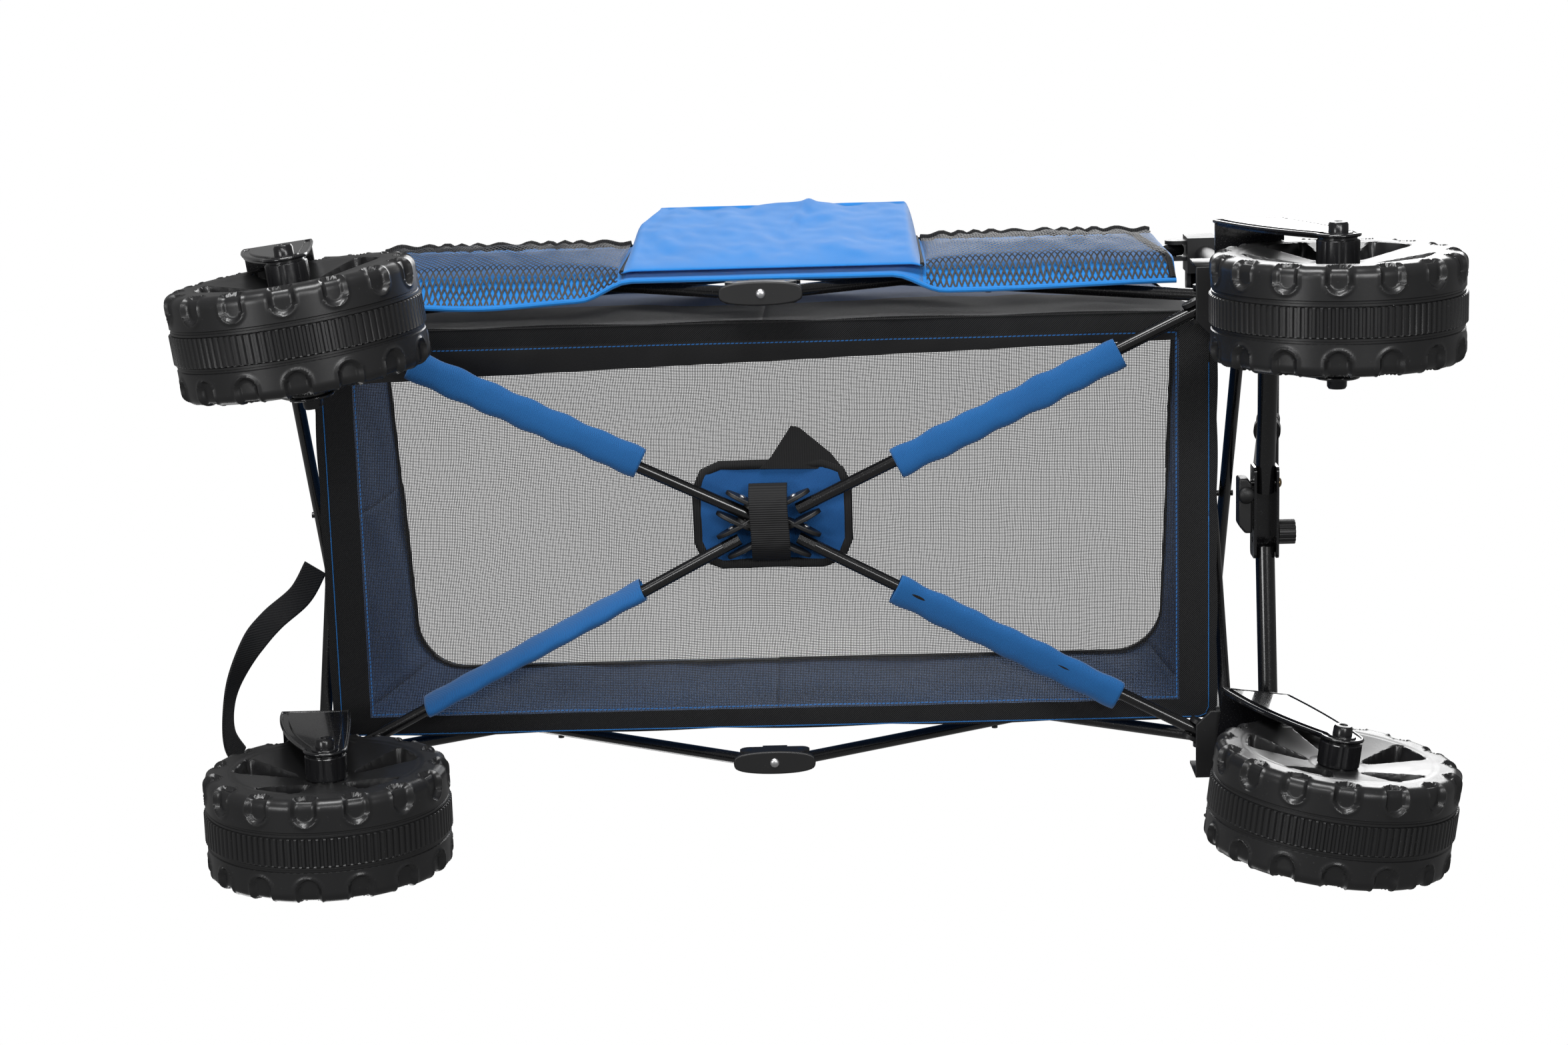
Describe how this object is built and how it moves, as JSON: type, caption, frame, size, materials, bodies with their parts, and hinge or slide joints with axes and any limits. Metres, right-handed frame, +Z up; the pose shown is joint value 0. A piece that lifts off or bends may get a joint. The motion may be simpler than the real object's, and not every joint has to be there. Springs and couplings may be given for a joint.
{
  "type": "beach cart",
  "caption": "Folding beach cart: scissor frame on wide plastic wheels with swivel front casters, a fabric basket with mesh floor, and a telescoping pull handle.",
  "frame": {"origin": "under the middle of the four corner posts, on the ground that the wheels stand on", "axes": "+X towards the front (pull handle and casters), +Y towards the cart's left, +Z up"},
  "size_m": [1.1916, 0.6086, 0.8292],
  "materials": {
    "moulded_plastic": "satin moulded black plastic",
    "gloss_black_steel": "gloss black powder coat on pressed steel",
    "black_tube": "gloss black powder coat on steel tube",
    "zinc_bolt": "zinc-plated bolts, black spacers",
    "wheel_plastic": "satin black moulded plastic, lightly scuffed",
    "grip_plastic": "black moulded grip",
    "black_webbing": "ribbed polyester webbing",
    "black_mesh": "coated open mesh cloth",
    "blue_fabric": "azure blue plain-weave polyester"
  },
  "bodies": {
    "rear_right_corner": {"rear_right_lower_bracket": "moulded_plastic", "rear_right_post": "black_tube", "rear_right_fork": "gloss_black_steel", "rear_right_axle": "zinc_bolt", "rear_basket_wall": "blue_fabric", "right_basket_wall": "blue_fabric"},
    "rear_right_slider": {"rear_right_upper_bracket": "moulded_plastic"},
    "rear_right_floor_arm": {"rear_right_floor_tube": "black_tube"},
    "rear_right_wheel_body": {"rear_right_wheel": "wheel_plastic"},
    "rear_left_corner": {"rear_left_lower_bracket": "moulded_plastic", "rear_left_post": "black_tube", "rear_left_fork": "gloss_black_steel", "rear_left_axle": "zinc_bolt", "left_basket_wall": "blue_fabric", "rear_strap": "black_webbing"},
    "rear_left_slider": {"rear_left_upper_bracket": "moulded_plastic"},
    "rear_left_floor_arm": {"rear_left_floor_tube": "black_tube"},
    "rear_left_wheel_body": {"rear_left_wheel": "wheel_plastic"},
    "front_right_corner": {"front_right_lower_bracket": "moulded_plastic", "front_right_post": "black_tube", "front_basket_wall": "blue_fabric"},
    "front_right_slider": {"front_right_upper_bracket": "moulded_plastic"},
    "front_right_floor_arm": {"front_right_floor_tube": "black_tube"},
    "front_right_wheel_body": {"front_right_wheel": "wheel_plastic"},
    "front_right_caster": {"front_right_fork": "gloss_black_steel", "front_right_axle": "zinc_bolt"},
    "front_left_corner": {"front_left_lower_bracket": "moulded_plastic", "front_left_post": "black_tube"},
    "front_left_slider": {"front_left_upper_bracket": "moulded_plastic"},
    "front_left_floor_arm": {"front_left_floor_tube": "black_tube"},
    "front_left_wheel_body": {"front_left_wheel": "wheel_plastic"},
    "front_left_caster": {"front_left_fork": "gloss_black_steel", "front_left_axle": "zinc_bolt"},
    "right_rear_outer": {"right_rear_outer_tube": "black_tube"},
    "right_rear_inner": {"right_rear_inner_tube": "black_tube"},
    "right_front_outer": {"right_front_outer_tube": "black_tube"},
    "right_front_inner": {"right_front_inner_tube": "black_tube"},
    "right_top_joint": {"right_top_knuckle": "moulded_plastic", "pocket_panel": "blue_fabric"},
    "right_bottom_joint": {"right_bottom_knuckle": "moulded_plastic"},
    "right_bar": {"right_front_bar": "black_tube"},
    "left_rear_outer": {"left_rear_outer_tube": "black_tube"},
    "left_rear_inner": {"left_rear_inner_tube": "black_tube"},
    "left_front_outer": {"left_front_outer_tube": "black_tube"},
    "left_front_inner": {"left_front_inner_tube": "black_tube"},
    "left_top_joint": {"left_top_knuckle": "moulded_plastic"},
    "left_bottom_joint": {"left_bottom_knuckle": "moulded_plastic"},
    "left_bar": {"left_front_bar": "black_tube"},
    "rear_outer": {"rear_outer_tube": "black_tube"},
    "rear_inner": {"rear_inner_tube": "black_tube"},
    "front_outer": {"front_outer_tube": "black_tube"},
    "front_inner": {"front_inner_tube": "black_tube"},
    "hub": {"floor_hub": "moulded_plastic", "basket_floor": "black_mesh"},
    "channel": {"bar_channel": "gloss_black_steel"},
    "knob": {"lock_knob": "moulded_plastic"},
    "handle": {"handle_tube": "black_tube"},
    "grip": {"handle_grip": "grip_plastic"}
  },
  "joints": [
    {"name": "fold", "type": "hinge", "parent": "rear_right_corner", "child": "right_rear_inner", "pos_m": [-0.417, -0.216, 0.28], "axis": [0, -1, 0], "range_deg": [0, 40], "deforming": ["rear_basket_wall", "right_basket_wall", "front_basket_wall", "left_basket_wall", "rear_strap", "basket_floor", "pocket_panel"]},
    {"name": "right_rear_crossing", "type": "hinge", "parent": "right_rear_inner", "child": "right_rear_outer", "pos_m": [-0.221, -0.23, 0.403], "axis": [0, -1, 0], "range_deg": [-82, 2]},
    {"name": "right_top_rear_hinge", "type": "hinge", "parent": "right_rear_inner", "child": "right_top_joint", "pos_m": [-0.025, -0.216, 0.526], "axis": [0, -1, 0], "range_deg": [-42, 2]},
    {"name": "right_bottom_rear_hinge", "type": "hinge", "parent": "right_rear_outer", "child": "right_bottom_joint", "pos_m": [-0.025, -0.23, 0.28], "axis": [0, -1, 0], "range_deg": [-2, 42]},
    {"name": "rear_right_slider_hinge", "type": "hinge", "parent": "right_rear_outer", "child": "rear_right_slider", "pos_m": [-0.417, -0.23, 0.526], "axis": [0, -1, 0], "range_deg": [-2, 42]},
    {"name": "right_top_front_hinge", "type": "hinge", "parent": "right_top_joint", "child": "right_front_inner", "pos_m": [0.025, -0.216, 0.526], "axis": [0, -1, 0], "range_deg": [-42, 2]},
    {"name": "right_front_crossing", "type": "hinge", "parent": "right_front_inner", "child": "right_front_outer", "pos_m": [0.221, -0.23, 0.403], "axis": [0, -1, 0], "range_deg": [-2, 82]},
    {"name": "front_right_corner_hinge", "type": "hinge", "parent": "right_front_inner", "child": "front_right_corner", "pos_m": [0.417, -0.216, 0.28], "axis": [0, -1, 0], "range_deg": [-2, 42]},
    {"name": "front_right_slider_hinge", "type": "hinge", "parent": "right_front_outer", "child": "front_right_slider", "pos_m": [0.417, -0.23, 0.526], "axis": [0, -1, 0], "range_deg": [-42, 2]},
    {"name": "left_rear_inner_hinge", "type": "hinge", "parent": "rear_left_corner", "child": "left_rear_inner", "pos_m": [-0.417, 0.216, 0.28], "axis": [0, -1, 0], "range_deg": [-2, 42]},
    {"name": "left_rear_crossing", "type": "hinge", "parent": "left_rear_inner", "child": "left_rear_outer", "pos_m": [-0.221, 0.23, 0.403], "axis": [0, -1, 0], "range_deg": [-82, 2]},
    {"name": "left_top_rear_hinge", "type": "hinge", "parent": "left_rear_inner", "child": "left_top_joint", "pos_m": [-0.025, 0.216, 0.526], "axis": [0, -1, 0], "range_deg": [-42, 2]},
    {"name": "left_bottom_rear_hinge", "type": "hinge", "parent": "left_rear_outer", "child": "left_bottom_joint", "pos_m": [-0.025, 0.23, 0.28], "axis": [0, -1, 0], "range_deg": [-2, 42]},
    {"name": "rear_left_slider_hinge", "type": "hinge", "parent": "left_rear_outer", "child": "rear_left_slider", "pos_m": [-0.417, 0.23, 0.526], "axis": [0, -1, 0], "range_deg": [-2, 42]},
    {"name": "left_top_front_hinge", "type": "hinge", "parent": "left_top_joint", "child": "left_front_inner", "pos_m": [0.025, 0.216, 0.526], "axis": [0, -1, 0], "range_deg": [-42, 2]},
    {"name": "left_front_crossing", "type": "hinge", "parent": "left_front_inner", "child": "left_front_outer", "pos_m": [0.221, 0.23, 0.403], "axis": [0, -1, 0], "range_deg": [-2, 82]},
    {"name": "front_left_corner_hinge", "type": "hinge", "parent": "left_front_inner", "child": "front_left_corner", "pos_m": [0.417, 0.216, 0.28], "axis": [0, -1, 0], "range_deg": [-2, 42]},
    {"name": "front_left_slider_hinge", "type": "hinge", "parent": "left_front_outer", "child": "front_left_slider", "pos_m": [0.417, 0.23, 0.526], "axis": [0, -1, 0], "range_deg": [-42, 2]},
    {"name": "rear_outer_hinge", "type": "hinge", "parent": "rear_right_corner", "child": "rear_outer", "pos_m": [-0.454, -0.196, 0.28], "axis": [1, 0, 0], "range_deg": [-2, 42]},
    {"name": "rear_crossing", "type": "hinge", "parent": "rear_outer", "child": "rear_inner", "pos_m": [-0.454, 0, 0.403], "axis": [1, 0, 0], "range_deg": [-82, 2]},
    {"name": "rear_left_corner_hinge", "type": "hinge", "parent": "rear_inner", "child": "rear_left_corner", "pos_m": [-0.44, 0.196, 0.28], "axis": [1, 0, 0], "range_deg": [-2, 42]},
    {"name": "front_outer_hinge", "type": "hinge", "parent": "front_right_corner", "child": "front_outer", "pos_m": [0.454, -0.196, 0.28], "axis": [1, 0, 0], "range_deg": [-2, 42]},
    {"name": "front_crossing", "type": "hinge", "parent": "front_outer", "child": "front_inner", "pos_m": [0.454, 0, 0.403], "axis": [1, 0, 0], "range_deg": [-82, 2]},
    {"name": "rear_right_floor_hinge", "type": "hinge", "parent": "rear_right_corner", "child": "rear_right_floor_arm", "pos_m": [-0.407, -0.2035, 0.261], "axis": [0.4472, -0.8944, 0], "range_deg": [-2, 70]},
    {"name": "hub_hinge", "type": "hinge", "parent": "rear_right_floor_arm", "child": "hub", "pos_m": [-0.01968, -0.00984, 0.30651], "axis": [0.4472, -0.8944, 0], "range_deg": [-70, 2]},
    {"name": "rear_left_floor_hinge", "type": "hinge", "parent": "rear_left_corner", "child": "rear_left_floor_arm", "pos_m": [-0.407, 0.2035, 0.261], "axis": [-0.4472, -0.8944, 0], "range_deg": [-2, 70]},
    {"name": "front_right_floor_hinge", "type": "hinge", "parent": "front_right_corner", "child": "front_right_floor_arm", "pos_m": [0.407, -0.2035, 0.261], "axis": [0.4472, 0.8944, 0], "range_deg": [-2, 70]},
    {"name": "front_left_floor_hinge", "type": "hinge", "parent": "front_left_corner", "child": "front_left_floor_arm", "pos_m": [0.407, 0.2035, 0.261], "axis": [-0.4472, 0.8944, 0], "range_deg": [-2, 70]},
    {"name": "right_bar_hinge", "type": "hinge", "parent": "front_right_corner", "child": "right_bar", "pos_m": [0.481, -0.196, 0.28], "axis": [1, 0, 0], "range_deg": [-2, 74]},
    {"name": "left_bar_hinge", "type": "hinge", "parent": "front_left_corner", "child": "left_bar", "pos_m": [0.481, 0.196, 0.28], "axis": [-1, 0, 0], "range_deg": [-2, 74]},
    {"name": "channel_hinge", "type": "hinge", "parent": "right_bar", "child": "channel", "pos_m": [0.481, -0.028, 0.30962], "axis": [1, 0, 0], "range_deg": [-74, 2]},
    {"name": "rear_right_wheel_spin", "type": "hinge", "parent": "rear_right_corner", "child": "rear_right_wheel_body", "pos_m": [-0.41031, -0.23076, 0.114], "axis": [0.1288, 0.9917, 0], "continuous": true},
    {"name": "rear_left_wheel_spin", "type": "hinge", "parent": "rear_left_corner", "child": "rear_left_wheel_body", "pos_m": [-0.41, 0.226, 0.114], "axis": [0, 1, 0], "continuous": true},
    {"name": "front_right_caster_swivel", "type": "hinge", "parent": "front_right_corner", "child": "front_right_caster", "pos_m": [0.447, -0.226, 0.28], "axis": [0, 0, 1], "continuous": true},
    {"name": "front_right_wheel_spin", "type": "hinge", "parent": "front_right_caster", "child": "front_right_wheel_body", "pos_m": [0.517, -0.226, 0.114], "axis": [0, 1, 0], "continuous": true},
    {"name": "front_left_caster_swivel", "type": "hinge", "parent": "front_left_corner", "child": "front_left_caster", "pos_m": [0.447, 0.226, 0.28], "axis": [0, 0, 1], "continuous": true},
    {"name": "front_left_wheel_spin", "type": "hinge", "parent": "front_left_caster", "child": "front_left_wheel_body", "pos_m": [0.5164, 0.23514, 0.114], "axis": [-0.1305, 0.9914, 0], "continuous": true},
    {"name": "handle_pitch", "type": "hinge", "parent": "channel", "child": "handle", "pos_m": [0.481, 0, 0.34412], "axis": [0, 1, 0], "range_deg": [-9, 96]},
    {"name": "handle_extend", "type": "slide", "parent": "handle", "child": "grip", "axis": [0.1564, 0, 0.9877], "range_m": [0, 0.3]},
    {"name": "knob_turn", "type": "hinge", "parent": "channel", "child": "knob", "pos_m": [0.49305, 0.02, 0.30562], "axis": [1, 0, 0], "continuous": true}
  ],
  "couplings": [
    {"joint": "right_rear_crossing", "follows": "fold", "ratio": -2},
    {"joint": "right_top_rear_hinge", "follows": "fold", "ratio": -1},
    {"joint": "right_bottom_rear_hinge", "follows": "fold", "ratio": 1},
    {"joint": "rear_right_slider_hinge", "follows": "fold", "ratio": 1},
    {"joint": "right_top_front_hinge", "follows": "fold", "ratio": -1},
    {"joint": "right_front_crossing", "follows": "fold", "ratio": 2},
    {"joint": "front_right_corner_hinge", "follows": "fold", "ratio": 1},
    {"joint": "front_right_slider_hinge", "follows": "fold", "ratio": -1},
    {"joint": "left_rear_inner_hinge", "follows": "fold", "ratio": 1},
    {"joint": "left_rear_crossing", "follows": "fold", "ratio": -2},
    {"joint": "left_top_rear_hinge", "follows": "fold", "ratio": -1},
    {"joint": "left_bottom_rear_hinge", "follows": "fold", "ratio": 1},
    {"joint": "rear_left_slider_hinge", "follows": "fold", "ratio": 1},
    {"joint": "left_top_front_hinge", "follows": "fold", "ratio": -1},
    {"joint": "left_front_crossing", "follows": "fold", "ratio": 2},
    {"joint": "front_left_corner_hinge", "follows": "fold", "ratio": 1},
    {"joint": "front_left_slider_hinge", "follows": "fold", "ratio": -1},
    {"joint": "rear_outer_hinge", "follows": "fold", "ratio": 1},
    {"joint": "rear_crossing", "follows": "fold", "ratio": -2},
    {"joint": "rear_left_corner_hinge", "follows": "fold", "ratio": 1},
    {"joint": "front_outer_hinge", "follows": "fold", "ratio": 1},
    {"joint": "front_crossing", "follows": "fold", "ratio": -2},
    {"joint": "rear_right_floor_hinge", "follows": "fold", "ratio": 1.7},
    {"joint": "hub_hinge", "follows": "fold", "ratio": -1.7},
    {"joint": "rear_left_floor_hinge", "follows": "fold", "ratio": 1.7},
    {"joint": "front_right_floor_hinge", "follows": "fold", "ratio": 1.7},
    {"joint": "front_left_floor_hinge", "follows": "fold", "ratio": 1.7},
    {"joint": "right_bar_hinge", "follows": "fold", "ratio": 1.8},
    {"joint": "left_bar_hinge", "follows": "fold", "ratio": 1.8},
    {"joint": "channel_hinge", "follows": "fold", "ratio": -1.8}
  ]
}
